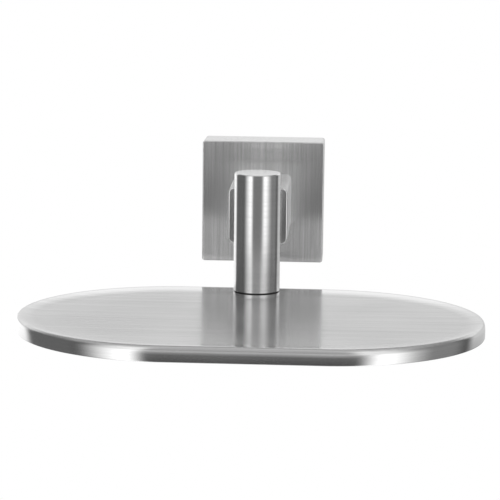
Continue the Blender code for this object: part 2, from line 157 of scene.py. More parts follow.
def loft(rings: list[Ring], closed: bool = False) -> Mesh:
    """Skin equal rings of points.

    Args:
        rings: The rings, in order.
        closed: Whether the last ring joins the first one. Otherwise both ends are capped.

    Returns:
        The closed skin.
    """
    bm = bmesh.new()
    loops = [[bm.verts.new(point) for point in ring] for ring in rings]
    pairs = list(zip(loops, loops[1:])) + ([(loops[-1], loops[0])] if closed else [])
    for lower, upper in pairs:
        for index in range(len(lower)):
            after = (index + 1) % len(lower)
            bm.faces.new((lower[index], lower[after], upper[after], upper[index]))
    if not closed:
        bm.faces.new(list(reversed(loops[0])))
        bm.faces.new(loops[-1])
    return bm


def squared_bar(width: float, height: float, corner: float, back: float, front: float,
                edge: float, steps: int, rise: float = 0.0) -> Mesh:
    """Build a squared bar along Y with a round edge about its front face.

    Args:
        width: Its size along X.
        height: Its size along Z.
        corner: The radius of its long edges.
        back: The y of its back.
        front: The y of its front face.
        edge: The radius of the edge about that face.
        steps: How many steps this edge has.
        rise: The height of its middle.

    Returns:
        The bar.
    """
    rings = [square_ring(width, height, corner, back, rise)]
    for step in range(steps + 1):
        angle = QUARTER_TURN * step / steps
        inset = edge * (1 - math.cos(angle))
        rings.append(square_ring(width - 2 * inset, height - 2 * inset, corner - inset,
                                 front + edge * (1 - math.sin(angle)), rise))
    return loft(rings)


def turned(profile: Profile, segments: int, closed: bool = False) -> Mesh:
    """Turn a profile of (radius, height) points about Z. A closed one is a loop clear of the axis."""
    return loft([circle(radius, height, segments) for radius, height in profile], closed)


def rod(radius: float, low: float, high: float, segments: int = 32) -> Mesh:
    """Return an upright rod with square ends."""
    return turned([(radius, low), (radius, high)], segments)


def pin(radius: float, low: float, high: float, edge: float, segments: int) -> Mesh:
    """Return an upright rod with bevelled ends."""
    return turned([(radius - edge, low), (radius, low + edge), (radius, high - edge),
                   (radius - edge, high)], segments)


def washer(inner: float, outer: float, low: float, high: float, edge: float, segments: int) -> Mesh:
    """Return a flat ring with bevelled edges, between two radii and two heights."""
    return turned([(inner + edge, low), (outer - edge, low), (outer, low + edge),
                   (outer, high - edge), (outer - edge, high), (inner + edge, high),
                   (inner, high - edge), (inner, low + edge)], segments, closed=True)


def prism(outline: Profile, low: float, high: float) -> Mesh:
    """Raise an outline of (x, y) points from one height to another and return the solid."""
    return loft([[Vector((x, y, z)) for x, y in outline] for z in (low, high)])


def hexagon(across_flats: float) -> Profile:
    """Return the six corners of a key socket."""
    radius = across_flats / math.sqrt(3)
    return [(radius * math.cos(math.pi / 3 * i), radius * math.sin(math.pi / 3 * i)) for i in range(6)]


def moved(bm: Mesh, x: float, y: float, z: float) -> Mesh:
    """Move a mesh and return it."""
    bmesh.ops.transform(bm, matrix=Matrix.Translation((x, y, z)), verts=bm.verts)
    return bm


def along_y(bm: Mesh, x: float, y: float, z: float) -> Mesh:
    """Lay a mesh that was turned about Z along -Y.

    Args:
        bm: The mesh.
        x: The x of its base's middle.
        y: The y of its base.
        z: The height of its base's middle.

    Returns:
        The mesh.
    """
    lay = Matrix.Translation((x, y, z)) @ Matrix.Rotation(QUARTER_TURN, 4, "X")
    bmesh.ops.transform(bm, matrix=lay, verts=bm.verts)
    return bm


def new_object(name: str, bm: Mesh) -> Piece:
    """Turn a bmesh into an object of the scene.

    Args:
        name: The object's name.
        bm: The mesh, which is freed.

    Returns:
        The object, at the origin.
    """
    bmesh.ops.recalc_face_normals(bm, faces=bm.faces)
    mesh = bpy.data.meshes.new(name)
    bm.to_mesh(mesh)
    bm.free()
    item = bpy.data.objects.new(name, mesh)
    bpy.context.scene.collection.objects.link(item)
    return item


def modify(item: Piece, kind: str, *settings: dict[str, object]) -> None:
    """Replace an object's mesh by what modifiers make of it.

    Args:
        item: The object.
        kind: The modifiers' type.
        *settings: The properties of each modifier.
    """
    for index, values in enumerate(settings):
        modifier = item.modifiers.new(f"{kind.lower()}_{index}", kind)
        for name, value in values.items():
            setattr(modifier, name, value)
    bpy.context.view_layer.update()
    graph = bpy.context.evaluated_depsgraph_get()
    plain = item.data
    made = bpy.data.meshes.new_from_object(item.evaluated_get(graph), depsgraph=graph)
    item.modifiers.clear()
    item.data = made
    bpy.data.meshes.remove(plain)


def carve(item: Piece, tools: Sequence[Mesh], operation: str) -> None:
    """Cut tools from an object, or join them to it.

    Args:
        item: The object.
        tools: The meshes that cut or join it, which are freed.
        operation: The Boolean's name.
    """
    helpers = [new_object(f"{item.name}_tool_{index}", bm) for index, bm in enumerate(tools)]
    modify(item, "BOOLEAN", *({"operation": operation, "object": helper} for helper in helpers))
    for helper in helpers:
        bpy.data.objects.remove(helper, do_unlink=True)


@dataclass(frozen=True)
class Coat:
    """A built finish and the record's slot that it belongs to."""

    slot: Slot
    material: bpy.types.Material


def make_piece(name: str, node: str, bm: Mesh, coats: Sequence[Coat], cuts: Sequence[Mesh] = (), *,
               joins: Sequence[Mesh] = (), body: Body = Body.HOLDER, broken_edge: float = 0.0,
               sharp_angle: float = SMOOTH_ANGLE,
               choose: Callable[[bpy.types.MeshPolygon], int] | None = None) -> Piece:
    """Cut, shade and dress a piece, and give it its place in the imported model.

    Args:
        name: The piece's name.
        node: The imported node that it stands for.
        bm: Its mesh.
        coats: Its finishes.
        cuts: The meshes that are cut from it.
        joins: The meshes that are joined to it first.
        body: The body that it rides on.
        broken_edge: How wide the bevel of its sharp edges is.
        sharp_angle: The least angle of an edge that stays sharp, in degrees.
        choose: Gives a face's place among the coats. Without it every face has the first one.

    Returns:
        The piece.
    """
    piece = new_object(name, bm)
    for tools, operation in ((joins, "UNION"), (cuts, "DIFFERENCE")):
        if tools:
            carve(piece, tools, operation)
    if broken_edge:
        modify(piece, "BEVEL", {"width": broken_edge, "segments": 2, "limit_method": "ANGLE",
                                "angle_limit": math.radians(BEVEL_ANGLE)})
    piece.data.shade_smooth()
    piece.data.set_sharp_from_angle(angle=math.radians(sharp_angle))
    modify(piece, "WEIGHTED_NORMAL", {"keep_sharp": True, "weight": 100})
    piece.data.materials.clear()
    for coat in coats:
        piece.data.materials.append(coat.material)
    if choose:
        for face in piece.data.polygons:
            face.material_index = choose(face)
    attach(piece, body.value)
    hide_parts(node)
    LOG.info("%s: %d faces, rides on %s, %s", name, len(piece.data.polygons), body.value,
             ", ".join(coat.material.name for coat in coats))
    return piece


def grey(tone: float) -> tuple[float, float, float, float]:
    """Return a neutral colour."""
    return tone, tone, tone, 1.0


class NodeDesk:
    """Adds nodes to a tree and joins them, with as few words as possible."""

    MIX_SOCKETS = {"FLOAT": (2, 3, 0), "RGBA": (6, 7, 2)}
    NUMBER_RESULTS = ("DOT_PRODUCT", "LENGTH")

    def __init__(self, tree: NodeTree) -> None:
        """Keep the tree to work on."""
        self.tree = tree

    def add(self, kind: str, *values: Value, **settings: object) -> Node:
        """Add a node.

        Args:
            kind: The node's type.
            *values: Its first inputs, in order.
            **settings: Its properties.

        Returns:
            The node.
        """
        node = self.tree.nodes.new(kind)
        for name, value in settings.items():
            setattr(node, name, value)
        for socket, value in zip(node.inputs, values):
            self.feed(socket, value)
        return node

    def feed(self, socket: Socket, value: Value) -> None:
        """Link a socket to another one, or set its number, colour or vector.

        Args:
            socket: The socket.
            value: What it gets.
        """
        if isinstance(value, Socket):
            self.tree.links.new(value, socket)
        else:
            socket.default_value = value

    def fill(self, node: Node, **values: Value) -> Node:
        """Feed a node's inputs by name.

        Args:
            node: The node.
            **values: What they get, with _ for a space in a name.

        Returns:
            The node.
        """
        for name, value in values.items():
            self.feed(node.inputs[name.replace("_", " ")], value)
        return node

    def maths(self, operation: str, *values: Value) -> Socket:
        """Return the output of a new Math node."""
        return self.add("ShaderNodeMath", *values, operation=operation).outputs[0]

    def vector(self, operation: str, *values: Value) -> Socket:
        """Return the output of a new Vector Math node, a number for a length or a dot product."""
        node = self.add("ShaderNodeVectorMath", *values, operation=operation)
        return node.outputs[operation in self.NUMBER_RESULTS]

    def ramp(self, value: Value, start: float, end: float, low: float = 0.0,
             high: float = 1.0) -> Socket:
        """Return a value mapped smoothly from the range of start and end to that of low and high."""
        return self.add("ShaderNodeMapRange", value, start, end, low, high,
                        interpolation_type="SMOOTHSTEP").outputs[0]

    def place(self) -> Socket:
        """Return the place on the object."""
        return self.add("ShaderNodeTexCoord").outputs["Object"]

    def normal(self) -> Socket:
        """Return the surface's normal."""
        return self.add("ShaderNodeNewGeometry").outputs["Normal"]

    def split(self, vector: Value) -> Sockets:
        """Return the sockets of a vector's x, y and z."""
        return self.add("ShaderNodeSeparateXYZ", vector).outputs

    def noise(self, vector: Value, scale: Value, detail: float, roughness: float) -> Socket:
        """Return a noise about 0.5, with so many waves per unit and finer layers."""
        return self.fill(self.add("ShaderNodeTexNoise"), Vector=vector, Scale=scale,
                         Detail=detail, Roughness=roughness).outputs[0]

    def mix(self, factor: Value, first: Value, second: Value, kind: str = "RGBA") -> Socket:
        """Mix two colours, or two numbers.

        Args:
            factor: How much of the second shows.
            first: The first one.
            second: The second one.
            kind: RGBA for colours or FLOAT for numbers.

        Returns:
            The mixture.
        """
        node = self.add("ShaderNodeMix", factor, data_type=kind)
        below, above, result = self.MIX_SOCKETS[kind]
        self.feed(node.inputs[below], first)
        self.feed(node.inputs[above], second)
        return node.outputs[result]

    def group(self, tree: NodeTree, **values: Value) -> Sockets:
        """Place a node group, with its inputs by name, and return its outputs."""
        return self.fill(self.add("ShaderNodeGroup", node_tree=tree), **values).outputs


class MaterialDesk(NodeDesk):
    """The desk of a new material, about its shader."""

    def __init__(self, name: str) -> None:
        """Start the material.

        Args:
            name: Its name.
        """
        self.material = bpy.data.materials.new(name)
        self.material.use_nodes = True
        super().__init__(self.material.node_tree)
        self.shader = self.tree.nodes["Principled BSDF"]

    def dress(self, height: Socket, relief: float, **values: Value) -> None:
        """Feed the shader by name, with a bump of a height from 0 to 1 and its relief in metres."""
        bump = self.fill(self.add("ShaderNodeBump"), Height=height, Distance=relief)
        self.fill(self.shader, Normal=bump.outputs[0], **values)

    def steel_tone_and_painted_highlight(self, steel: "BrushedSteel | SatinSteel", factor: Socket, edge: Socket) -> Socket:
        """Return a grey that varies over the surface, with a painted highlight that brightens its edges.

        Args:
            steel: The finish that gives the tones.
            factor: How light the surface is, from 0 to 1.
            edge: The mask of the edges.

        Returns:
            The colour.
        """
        plain = self.mix(factor, grey(steel.tone * (1 - steel.contrast)),
                         grey(steel.tone * (1 + steel.contrast)))
        # painted highlight: the colour on the edges is raised above the steel's tone
        return self.mix(self.maths("MULTIPLY", edge, steel.painted_highlight_share), plain,
                        grey(steel.tone * steel.painted_highlight_gain))


@dataclass(frozen=True)
class Effect:
    """A surface effect that several finishes share, kept as one node group with one setting."""

    name: str
    setting: str
    value: float | tuple[float, float, float]
    outputs: tuple[str, ...]

    def open(self) -> tuple[NodeDesk, Socket, Node]:
        """Start the group.

        Returns:
            The desk for its nodes, its setting and its output node.
        """
        tree = bpy.data.node_groups.new(self.name, "ShaderNodeTree")
        kind = "NodeSocketVector" if isinstance(self.value, tuple) else "NodeSocketFloat"
        socket = tree.interface.new_socket(self.setting, in_out="INPUT", socket_type=kind)
        socket.default_value = self.value
        for name in self.outputs:
            tree.interface.new_socket(name, in_out="OUTPUT", socket_type="NodeSocketFloat")
        desk = NodeDesk(tree)
        return desk, desk.add("NodeGroupInput").outputs[self.setting], desk.add("NodeGroupOutput")


class Effects:
    """The shared effects, each built once."""

    BROAD_WAVES = 0.22           # of the broad streaks, as a share of the fine ones'
    BROAD_SHARE = 0.12           # of the grain's tone
    GRAIN_RANGE = (0.3, 0.7)
    CLOUD_RANGE = (0.35, 0.75)
    EDGE_RANGE = (0.995, 0.86)   # cosine between the true normal and the one rounded over edges

    def __init__(self) -> None:
        """Build the groups."""
        self.grain = self.build_grain()
        self.handling = self.build_handling()
        self.edges = self.build_edges()

    def build_grain(self) -> NodeTree:
        """Build brushed grain, drawn out along its grooves.

        Returns:
            A group with the grain's tone and height, both from 0 to 1.
        """
        desk, waves, made = Effect("brushed_grain", "Waves", (4000.0, 4000.0, 30.0),
                                   ("Tone", "Height")).open()
        drawn = desk.vector("MULTIPLY", desk.place(), waves)
        fine = desk.noise(drawn, 1.0, detail=3.0, roughness=0.6)
        broad = desk.noise(drawn, self.BROAD_WAVES, detail=2.0, roughness=0.5)
        tone = desk.maths("ADD", desk.maths("MULTIPLY", fine, 1 - self.BROAD_SHARE),
                          desk.maths("MULTIPLY", broad, self.BROAD_SHARE))
        desk.fill(made, Tone=desk.ramp(tone, *self.GRAIN_RANGE), Height=fine)
        return desk.tree

    def build_handling(self) -> NodeTree:
        """Build soft clouds of handling, where the polish is a little duller.

        Returns:
            A group with the clouds' strength from 0 to 1.
        """
        desk, waves, made = Effect("handling_marks", "Waves", 30.0, ("Dullness",)).open()
        clouds = desk.noise(desk.place(), waves, detail=1.0, roughness=0.4)
        desk.fill(made, Dullness=desk.ramp(clouds, *self.CLOUD_RANGE))
        return desk.tree

    def build_edges(self) -> NodeTree:
        """Build the mask of the edges, where the finishes lower the roughness for polish and raise the
        colour as a painted highlight.

        Returns:
            A group with a mask that is 1 on an edge and 0 away from it.
        """
        # the mask serves the polish's lower roughness and the painted highlight on the edges' colour
        desk, width, made = Effect("edge_polish", "Width", 0.4 * MM, ("Mask",)).open()
        rounded = desk.add("ShaderNodeBevel", width, samples=4).outputs[0]
        facing = desk.vector("DOT_PRODUCT", rounded, desk.normal())
        desk.fill(made, Mask=desk.ramp(facing, *self.EDGE_RANGE))
        return desk.tree


@dataclass(frozen=True)
class CrestPolish:
    """Where a dish is polished smoother: up its rim's slope, and most of all at the back."""

    foot: float
    top: float
    front: float
    back: float
    least: float = 0.35
    gain: float = 0.15

    def smoother(self, desk: NodeDesk) -> Socket:
        """Return how much the polish takes off the roughness.

        Args:
            desk: The dish's desk.

        Returns:
            The amount.
        """
        place = desk.split(desk.place())
        risen = desk.ramp(place["Z"], self.foot, self.top)
        behind = desk.ramp(place["Y"], self.front, self.back, self.least * self.gain, self.gain)
        return desk.maths("MULTIPLY", risen, behind)


@dataclass(frozen=True)
class BrushedSteel:
    """Stainless steel with fine parallel grooves."""

    name: str
    lay: Lay
    waves: tuple[float, float, float]
    tone: float = 0.70
    roughness: float = 0.27
    anisotropy: float = 0.85
    contrast: float = 0.05
    relief: float = 0.0012 * MM
    dulling: float = 0.03
    groove_polish: float = 0.03
    edge_polish: float = 0.05
    # painted highlight: the next two set how far the edges' colour rises above the tone
    painted_highlight_share: float = 0.5
    painted_highlight_gain: float = 1.08
    polish: CrestPolish | None = None

    def tangent(self, desk: NodeDesk) -> Socket:
        """Return the direction in which the grooves spread a highlight, square to them.

        Args:
            desk: The material's desk.

        Returns:
            The direction.
        """
        if self.lay is Lay.LEVEL:
            return desk.vector("NORMALIZE", self.lay.value)
        return desk.vector("CROSS_PRODUCT", desk.normal(), self.lay.value)

    def build(self, effects: Effects) -> Coat:
        """Build the material.

        Args:
            effects: The shared effects.

        Returns:
            The finish.
        """
        desk = MaterialDesk(self.name)
        grain = desk.group(effects.grain, Waves=self.waves)
        edge = desk.group(effects.edges)["Mask"]
        rough = desk.maths("MULTIPLY_ADD", desk.group(effects.handling)["Dullness"], self.dulling,
                           self.roughness)
        rough = desk.maths("MULTIPLY_ADD", grain["Tone"], -self.groove_polish, rough)
        if self.polish:
            rough = desk.maths("SUBTRACT", rough, self.polish.smoother(desk))
        rough = desk.maths("MULTIPLY_ADD", edge, -self.edge_polish, rough)
        desk.dress(grain["Height"], self.relief, Metallic=1.0, Roughness=rough,
                   Base_Color=desk.steel_tone_and_painted_highlight(self, grain["Tone"], edge),
                   Anisotropic=self.anisotropy, Tangent=self.tangent(desk))
        return Coat(Slot.BRUSHED, desk.material)


@dataclass(frozen=True)
class SatinSteel:
    """Rolled or plated steel without a grain, for the bracket, screws, pins and washers."""

    name: str
    slot: Slot
    tone: float
    roughness: float
    contrast: float = 0.10
    waves: float = 900.0
    relief: float = 0.004 * MM
    handling_waves: float = 160.0
    dulling: float = 0.08
    mottle_roughness: float = 0.05
    edge_width: float = 0.2 * MM
    # painted highlight: the next two set how far the edges' colour rises above the tone
    painted_highlight_share: float = 0.6
    painted_highlight_gain: float = 1.3

    def build(self, effects: Effects) -> Coat:
        """Build the material.

        Args:
            effects: The shared effects.

        Returns:
            The finish.
        """
        desk = MaterialDesk(self.name)
        mottle = desk.ramp(desk.noise(desk.place(), self.waves, detail=5.0, roughness=0.6),
                           *Effects.GRAIN_RANGE)
        dullness = desk.group(effects.handling, Waves=self.handling_waves)["Dullness"]
        edge = desk.group(effects.edges, Width=self.edge_width)["Mask"]
        rough = desk.maths("MULTIPLY_ADD", dullness, self.dulling, self.roughness)
        rough = desk.maths("MULTIPLY_ADD", mottle, self.mottle_roughness, rough)
        desk.dress(mottle, self.relief, Metallic=1.0, Roughness=rough,
                   Base_Color=desk.steel_tone_and_painted_highlight(self, mottle, edge))
        return Coat(self.slot, desk.material)


@dataclass(frozen=True)
class MouldedRubber:
    """Black rubber with a fine moulded grain and a trace of dust."""

    name: str
    tone: float = 0.022
    dust: float = 0.06
    dust_share: float = 0.5
    roughness: float = 0.62
    pore_waves: float = 5000.0
    pore_roughness: float = 0.15
    relief: float = 0.01 * MM
    handling_waves: float = 300.0

    def build(self, effects: Effects) -> Coat:
        """Build the material.

        Args:
            effects: The shared effects.

        Returns:
            The finish.
        """
        desk = MaterialDesk(self.name)
        pores = desk.noise(desk.place(), self.pore_waves, detail=3.0, roughness=0.6)
        dullness = desk.group(effects.handling, Waves=self.handling_waves)["Dullness"]
        colour = desk.mix(desk.maths("MULTIPLY", dullness, self.dust_share), grey(self.tone),
                          grey(self.dust))
        rough = desk.maths("MULTIPLY_ADD", pores, self.pore_roughness, self.roughness)
        desk.dress(pores, self.relief, Base_Color=colour, Roughness=rough)
        return Coat(Slot.RUBBER, desk.material)


class Finishes:
    """Every finish of the soap holder, built once."""

    def __init__(self, crest_polish: CrestPolish) -> None:
        """Build the finishes.

        Args:
            crest_polish: Where the dish is polished smoother.
        """
        effects = Effects()
        self.rosette = BrushedSteel("upright_brushed_steel", Lay.UPRIGHT, (1500.0, 1500.0, 25.0),
                                    tone=0.75, roughness=0.19, anisotropy=0.93,
                                    contrast=0.15).build(effects)
        self.arm = BrushedSteel("cross_brushed_steel", Lay.ACROSS, (40.0, 1500.0, 1500.0),
                                tone=0.76, roughness=0.42).build(effects)
        self.post = BrushedSteel("ground_post_steel", Lay.LEVEL, (30.0, 30.0, 1500.0),
                                 tone=0.67, roughness=0.20).build(effects)
        # the end faces' tone of 0.95, against the side's 0.67, is a painted highlight on top of their
        # faced finish
        self.post_end_with_painted_highlight = BrushedSteel("faced_end_steel", Lay.LENGTHWISE, (25.0, 1500.0, 1500.0),
                                     tone=0.95, roughness=0.17).build(effects)
        self.dish = BrushedSteel("lengthwise_brushed_steel", Lay.LENGTHWISE, (8.0, 2500.0, 250.0),
                                 roughness=0.25, anisotropy=0.93, contrast=0.06,
                                 polish=crest_polish).build(effects)
        self.rim = BrushedSteel("level_brushed_steel", Lay.LEVEL, (60.0, 60.0, 3600.0),
                                roughness=0.19).build(effects)
        self.bracket = SatinSteel("rolled_sheet_steel", Slot.BRACKET, 0.55, 0.38).build(effects)
        self.hardware = SatinSteel("plated_screw_steel", Slot.HARDWARE, 0.46, 0.30).build(effects)
        self.rubber = MouldedRubber("black_gasket_rubber").build(effects)


@dataclass(frozen=True)
class Thread:
    """A metric thread on an upright rod."""

    radius: float
    pitch: float = 0.8 * MM
    depth: float = 0.45 * MM
    flank: float = 2.6
    crest: float = 0.15
    segments: int = 48
    rings_per_turn: int = 8

    def groove(self, phase: float) -> float:
        """Return how deep the thread is at a share of its turn, from 0 at the crest to 1."""
        return min(1.0, max(0.0, self.flank * min(phase, 1 - phase) - self.crest))

    def rings(self, low: float, high: float) -> list[Ring]:
        """Return the rings of a threaded stretch.

        Args:
            low: Where it starts.
            high: Where it ends.

        Returns:
            The rings, with both ends drawn in to the root of the thread.
        """
        count = math.ceil((high - low) / self.pitch * self.rings_per_turn)
        rings = []
        for index in range(count + 1):
            z = low + (high - low) * index / count
            limit = self.radius - self.depth + min(z - low, high - z)
            ring = []
            for step in range(self.segments):
                phase = (z / self.pitch - step / self.segments) % 1.0
                radius = min(limit, self.radius - self.depth * self.groove(phase))
                angle = 2 * math.pi * step / self.segments
                ring.append(Vector((radius * math.cos(angle), radius * math.sin(angle), z)))
            rings.append(ring)
        return rings


@dataclass(frozen=True)
class SocketScrew:
    """A screw with a round head and a hexagonal socket, standing head down on height 0."""

    head_radius: float
    head_height: float
    key: float
    key_depth: float
    length: float
    threaded: float
    thread: Thread
    edge: float = 0.35 * MM

    def solid(self) -> Mesh:
        """Return the screw without its socket.

        Returns:
            The solid.
        """
        head, height, edge, inner_edge = self.head_radius, self.head_height, self.edge, self.edge / 3
        shank, start = self.thread.radius, self.length - self.threaded
        profile = [(head - edge, 0.0), (head, edge), (head, height - inner_edge),
                   (head - inner_edge, height), (shank, height)]
        if start > height:
            profile.append((shank, start - edge))
        rings = [circle(radius, z, self.thread.segments) for radius, z in profile]
        return loft(rings + self.thread.rings(start, self.length))

    def socket(self) -> Mesh:
        """Return the tool that cuts the key's socket."""
        return prism(hexagon(self.key), -self.head_height, self.key_depth)


@dataclass(frozen=True)
class Assembly:
    """A sub-assembly of the holder, with the finishes that its pieces wear."""

    finishes: Finishes


@dataclass(frozen=True)
class WallBracket(Assembly):
    """The channel that is screwed to the wall inside the rosette."""

    plate: float = 2.5 * MM
    flange: float = 2.5 * MM
    corner: float = 1.5 * MM
    bend_steps: int = 4
    slot_width: float = 5.4 * MM
    slot_length: float = 10.0 * MM
    slot_spacing: float = 22.0 * MM
    slot_steps: int = 16
    tip_hole: float = 1.7 * MM
    broken_edge: float = 0.25 * MM

    def slot_outline(self) -> Profile:
        """Return the outline of an upright slot with round ends.

        Returns:
            Its (x, y) points.
        """
        reach, half = (self.slot_length - self.slot_width) / 2, self.slot_width / 2
        points = []
        for end, start in ((1, 0.0), (-1, math.pi)):
            for step in range(self.slot_steps + 1):
                angle = math.pi * step / self.slot_steps + start
                points.append((half * math.cos(angle), half * math.sin(angle) + end * reach))
        return points

    def build(self) -> list[Piece]:
        """Build and dress the bracket.

        Returns:
            The bracket alone.
        """
        place, lock = Place.of("wall_bracket"), Place.of("set_screw").middle
        side, depth = place.size.x, place.size.y
        reach, bend = side / 2 - self.flange, self.flange / 2
        floor = [(-2 * depth, -reach), (-self.plate - bend, -reach)]
        floor += [(-self.plate - bend * (1 - math.sin(angle)), -reach + bend * (1 - math.cos(angle)))
                  for angle in (QUARTER_TURN * step / self.bend_steps
                                for step in range(1, self.bend_steps + 1))]
        trough = floor + [(y, -z) for y, z in reversed(floor)]
        cuts = [loft([[Vector((x, y, z)) for y, z in trough] for x in (-side, side)])]
        cuts += [along_y(prism(self.slot_outline(), -self.plate, 2 * self.plate),
                         end * self.slot_spacing / 2, 0, 0) for end in (-1, 1)]
        cuts.append(moved(rod(self.tip_hole, -self.flange, 2 * self.flange), 0, lock.y, -side / 2))
        plate = loft([square_ring(side, side, self.corner, y) for y in (0.0, -depth)])
        return [make_piece("bracket_channel", "wall_bracket", plate, [self.finishes.bracket], cuts,
                           broken_edge=self.broken_edge)]


@dataclass(frozen=True)
class Rosette(Assembly):
    """The square cover against the wall and the set screw in its lower wall."""

    corner: float = 1.0 * MM
    edge: float = 0.4 * MM
    edge_steps: int = 7
    wall: float = 4.0 * MM
    face: float = 3.5 * MM
    inner_corner: float = 1.5 * MM
    play: float = 0.06 * MM
    screw_radius: float = 2.5 * MM
    point_radius: float = 1.5 * MM
    key: float = 2.5 * MM
    key_depth: float = 2.0 * MM

    def build(self) -> list[Piece]:
        """Build and dress the cover and its screw."""
        return [self.build_cover(), self.build_set_screw()]

    def build_cover(self) -> Piece:
        """Build the hollow cover with a fine round edge about its face.

        Returns:
            The cover.
        """
        place = Place.of("rosette")
        side, front = place.size.x, place.low.y
        inner = side - 2 * self.wall
        cuts = [loft([square_ring(inner, inner, self.inner_corner, y)
                      for y in (place.size.y, front + self.face)])]
        bolt, left, right = (Place.of(node) for node in ("tie_bolt", "dowel_left", "dowel_right"))
        for pierced, radius in ((bolt, self.screw_radius), (left, left.size.x / 2),
                                (right, right.size.x / 2)):
            cuts.append(along_y(rod(radius + self.play, -2 * self.face, 2 * self.face),
                                pierced.middle.x, front, pierced.middle.z))
        cuts.append(moved(rod(self.screw_radius + self.play, -self.wall, 1.5 * self.wall,
                              segments=48), 0, Place.of("set_screw").middle.y, -side / 2))
        cover = squared_bar(side, side, self.corner, 0.0, front, self.edge, self.edge_steps)
        return make_piece("rosette_cover", "rosette", cover, [self.finishes.rosette], cuts)

    def build_set_screw(self) -> Piece:
        """Build the set screw with its thread, its point and its key socket.

        Returns:
            The screw.
        """
        place = Place.of("set_screw")
        low, high, y = place.low.z, place.high.z, place.middle.y
        shoulder = Place.of("rosette").low.z + self.wall
        thread = Thread(self.screw_radius)
        point, edge = self.point_radius, self.edge / 2
        rings = thread.rings(low, shoulder)
        rings += [circle(radius, z, thread.segments) for radius, z in
                  ((point, shoulder), (point, high - edge), (point - edge, high))]
        key = prism(hexagon(self.key), low - self.key_depth, low + self.key_depth)
        return make_piece("set_screw_lock", "set_screw", moved(loft(rings), 0, y, 0),
                          [self.finishes.hardware], [moved(key, 0, y, 0)], body=Body.LOCK,
                          sharp_angle=THREAD_ANGLE)


@dataclass(frozen=True)
class Arm(Assembly):
    """The squared arm and the two dowels that keep it from turning."""

    corner: float = 2.0 * MM
    end_round: float = 0.6 * MM
    round_steps: int = 7
    end_slope: float = 0.8
    seat: float = 0.05 * MM
    bore: float = 2.6 * MM
    dowel_edge: float = 0.3 * MM

    def build(self) -> list[Piece]:
        """Build and dress the arm and its dowels."""
        return [self.build_arm()] + [self.build_dowel(node) for node in ("dowel_left", "dowel_right")]

    def build_arm(self) -> Piece:
        """Build the arm, hollowed at its end to seat the post and with its ends brushed upright.

        Returns:
            The arm.
        """
        place, post = Place.of("arm"), Place.of("post")
        width, height, rise = place.size.x, place.size.z, place.middle.z
        back = Place.of("rosette").low.y - self.seat
        cuts = [moved(rod(post.size.x / 2 + self.seat, -height, height, segments=128),
                      0, post.middle.y, rise),
                along_y(rod(self.bore, -width, 2 * place.size.y), 0, back, rise)]
        for dowel in (Place.of("dowel_left"), Place.of("dowel_right")):
            hole = rod(dowel.size.x / 2 + self.seat, -width, back - dowel.low.y + self.seat)
            cuts.append(along_y(hole, dowel.middle.x, back, rise))
        bar = squared_bar(width, height, self.corner, back, place.low.y, self.end_round,
                          self.round_steps, rise)
        return make_piece("arm_bar", "arm", bar, [self.finishes.arm, self.finishes.rosette], cuts,
                          choose=lambda face: int(abs(face.normal.y) > self.end_slope))

    def build_dowel(self, node: str) -> Piece:
        """Build one dowel with bevelled ends.

        Args:
            node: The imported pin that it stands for.

        Returns:
            The dowel.
        """
        place = Place.of(node)
        dowel = pin(place.size.x / 2, 0, place.size.y, self.dowel_edge, segments=40)
        dowel = along_y(dowel, place.middle.x, place.high.y, place.middle.z)
        return make_piece(f"{node}_pin", node, dowel, [self.finishes.hardware])


@dataclass(frozen=True)
class TieBolt(Assembly):
    """The long bolt through the arm and the two washers under its head."""

    radius: float = 2.5 * MM
    head_height: float = 3.4 * MM
    key: float = 3.0 * MM
    key_depth: float = 1.8 * MM
    threaded: float = 16.0 * MM
    play: float = 0.12 * MM
    broken_edge: float = 0.12 * MM
    slit: float = 0.8 * MM
    slit_lean: float = 0.35

    def build(self) -> list[Piece]:
        """Build and dress the bolt and its washers."""
        return [self.build_bolt(), self.build_washer("plain_washer", self.finishes.bracket, []),
                self.build_washer("spring_washer", self.finishes.hardware, [self.slit_tool()])]

    def build_bolt(self) -> Piece:
        """Build the bolt with its head, shank and thread.

        Returns:
            The bolt.
        """
        place = Place.of("tie_bolt")
        shape = SocketScrew(place.size.x / 2, self.head_height, self.key, self.key_depth,
                            place.size.y, self.threaded, Thread(self.radius))
        base = (place.middle.x, place.high.y, place.middle.z)
        return make_piece("tie_bolt_screw", "tie_bolt", along_y(shape.solid(), *base),
                          [self.finishes.hardware], [along_y(shape.socket(), *base)],
                          sharp_angle=THREAD_ANGLE)

    def slit_tool(self) -> Mesh:
        """Return the tool that splits the spring washer with a slanted cut.

        Returns:
            The tool, where the washer lies.
        """
        place = Place.of("spring_washer")
        half, lean, reach = self.slit / 2, self.slit * self.slit_lean, place.size.z
        outline = [(-half - lean, -reach), (half - lean, -reach), (half + lean, reach),
                   (-half + lean, reach)]
        return moved(prism(outline, 0, reach), *place.middle)

    def build_washer(self, node: str, coat: Coat, cuts: list[Mesh]) -> Piece:
        """Build one of the washers.

        Args:
            node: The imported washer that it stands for.
            coat: Its finish.
            cuts: What is cut from it.

        Returns:
            The washer.
        """
        place = Place.of(node)
        ring = washer(self.radius + self.play, place.size.x / 2, 0, place.size.y, self.broken_edge,
                      segments=64)
        ring = along_y(ring, place.middle.x, place.high.y, place.middle.z)
        return make_piece(f"{node}_ring", node, ring, [coat], cuts)


